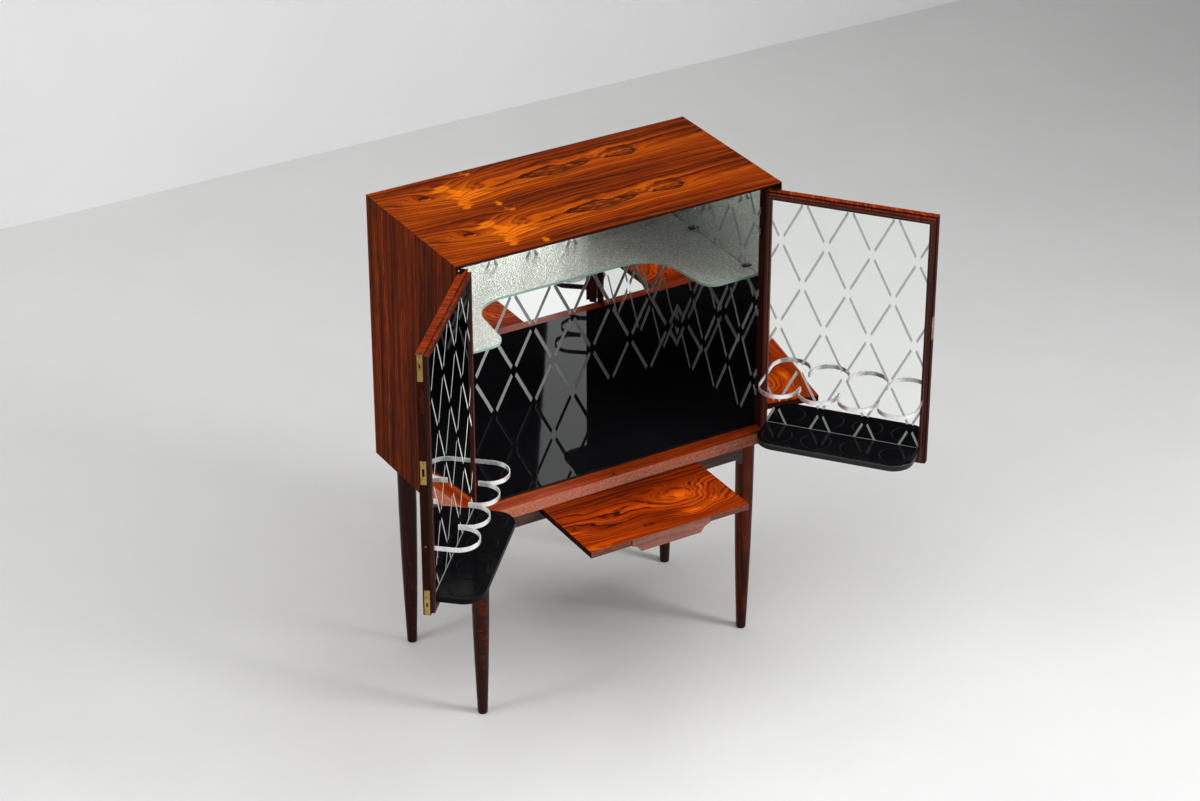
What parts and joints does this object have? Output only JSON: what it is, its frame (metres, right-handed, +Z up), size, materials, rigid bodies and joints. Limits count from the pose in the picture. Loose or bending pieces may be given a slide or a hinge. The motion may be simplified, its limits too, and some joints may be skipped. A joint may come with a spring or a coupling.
{
  "type": "bar cabinet",
  "caption": "Free-standing bar cabinet on round tapered legs, its mirrored doors with bottle trays swung open and a serving board drawn out from below.",
  "frame": {"origin": "on the floor, in the middle of the box round the open cabinet, so the case's own middle lies 166.1 mm behind it", "axes": "+Z up, -Y towards the front of the cabinet, +X to the right of someone who faces it"},
  "size_m": [1.2857, 0.7462, 1.167],
  "materials": {
    "figured_veneer": "gloss lacquer",
    "side_veneer": "gloss lacquer",
    "leg_wood": "gloss lacquer",
    "black_lacquer": "gloss lacquer",
    "bearer_wood": "bare",
    "back_board": "satin lacquer",
    "silvered_mirror": "etched with a diamond lattice",
    "clear_glass": "hammered underside",
    "bright_strip": "polished",
    "brass": "polished",
    "steel": "satin",
    "dark_clip": "satin"
  },
  "bodies": {
    "cabinet": {"case_top": "figured_veneer", "case_bottom": "figured_veneer", "case_left_side": "side_veneer", "case_right_side": "side_veneer", "case_back": "back_board", "back_mirror": "silvered_mirror", "left_side_mirror": "silvered_mirror", "right_side_mirror": "silvered_mirror", "floor_panel": "black_lacquer", "glass_shelf": "clear_glass", "shelf_clips": "dark_clip", "left_case_hinge_leaves": "brass", "right_case_hinge_leaves": "brass", "bolt_keepers": "brass", "front_rail": "leg_wood", "rear_rail": "leg_wood", "left_rail": "leg_wood", "right_rail": "leg_wood", "left_runner": "bearer_wood", "right_runner": "bearer_wood", "leg_front_left": "leg_wood", "leg_front_right": "leg_wood", "leg_rear_left": "leg_wood", "leg_rear_right": "leg_wood"},
    "left_door": {"left_door_rim": "side_veneer", "left_door_mirror": "silvered_mirror", "left_door_tray": "black_lacquer", "left_door_band": "bright_strip", "left_door_hinge_leaves": "brass", "left_door_slab": "side_veneer", "upper_bolt_plate": "brass", "lower_bolt_plate": "brass", "strike_plate": "brass", "meeting_button": "brass"},
    "right_door": {"right_door_rim": "side_veneer", "right_door_mirror": "silvered_mirror", "right_door_tray": "black_lacquer", "right_door_band": "bright_strip", "right_door_hinge_leaves": "brass", "right_door_slab": "side_veneer", "lock_plate": "brass", "lock_case": "steel", "keyhole_escutcheon": "brass"},
    "sliding_board": {"serving_board": "figured_veneer", "board_pull": "leg_wood", "board_stop": "bearer_wood"},
    "upper_flush_bolt": {"upper_bolt": "brass"},
    "lower_flush_bolt": {"lower_bolt": "brass"},
    "door_lock_bolt": {"lock_bolt": "steel"}
  },
  "joints": [
    {"name": "left_door_hinge", "type": "hinge", "parent": "cabinet", "child": "left_door", "pos_m": [-0.39, -0.02291, 0.876], "axis": [0, 0, 1], "range_deg": [0, 132]},
    {"name": "right_door_hinge", "type": "hinge", "parent": "cabinet", "child": "right_door", "pos_m": [0.39, -0.02291, 0.876], "axis": [0, 0, -1], "range_deg": [-3, 129]},
    {"name": "board_slide", "type": "slide", "parent": "cabinet", "child": "sliding_board", "axis": [0, 1, 0], "range_m": [0, 0.211]},
    {"name": "upper_bolt_slide", "type": "slide", "parent": "left_door", "child": "upper_flush_bolt", "axis": [0, 0, 1], "range_m": [0, 0.01]},
    {"name": "lower_bolt_slide", "type": "slide", "parent": "left_door", "child": "lower_flush_bolt", "axis": [0, 0, -1], "range_m": [0, 0.01]},
    {"name": "lock_bolt_slide", "type": "slide", "parent": "right_door", "child": "door_lock_bolt", "axis": [0.6293, -0.7771, 0], "range_m": [0, 0.008]}
  ]
}
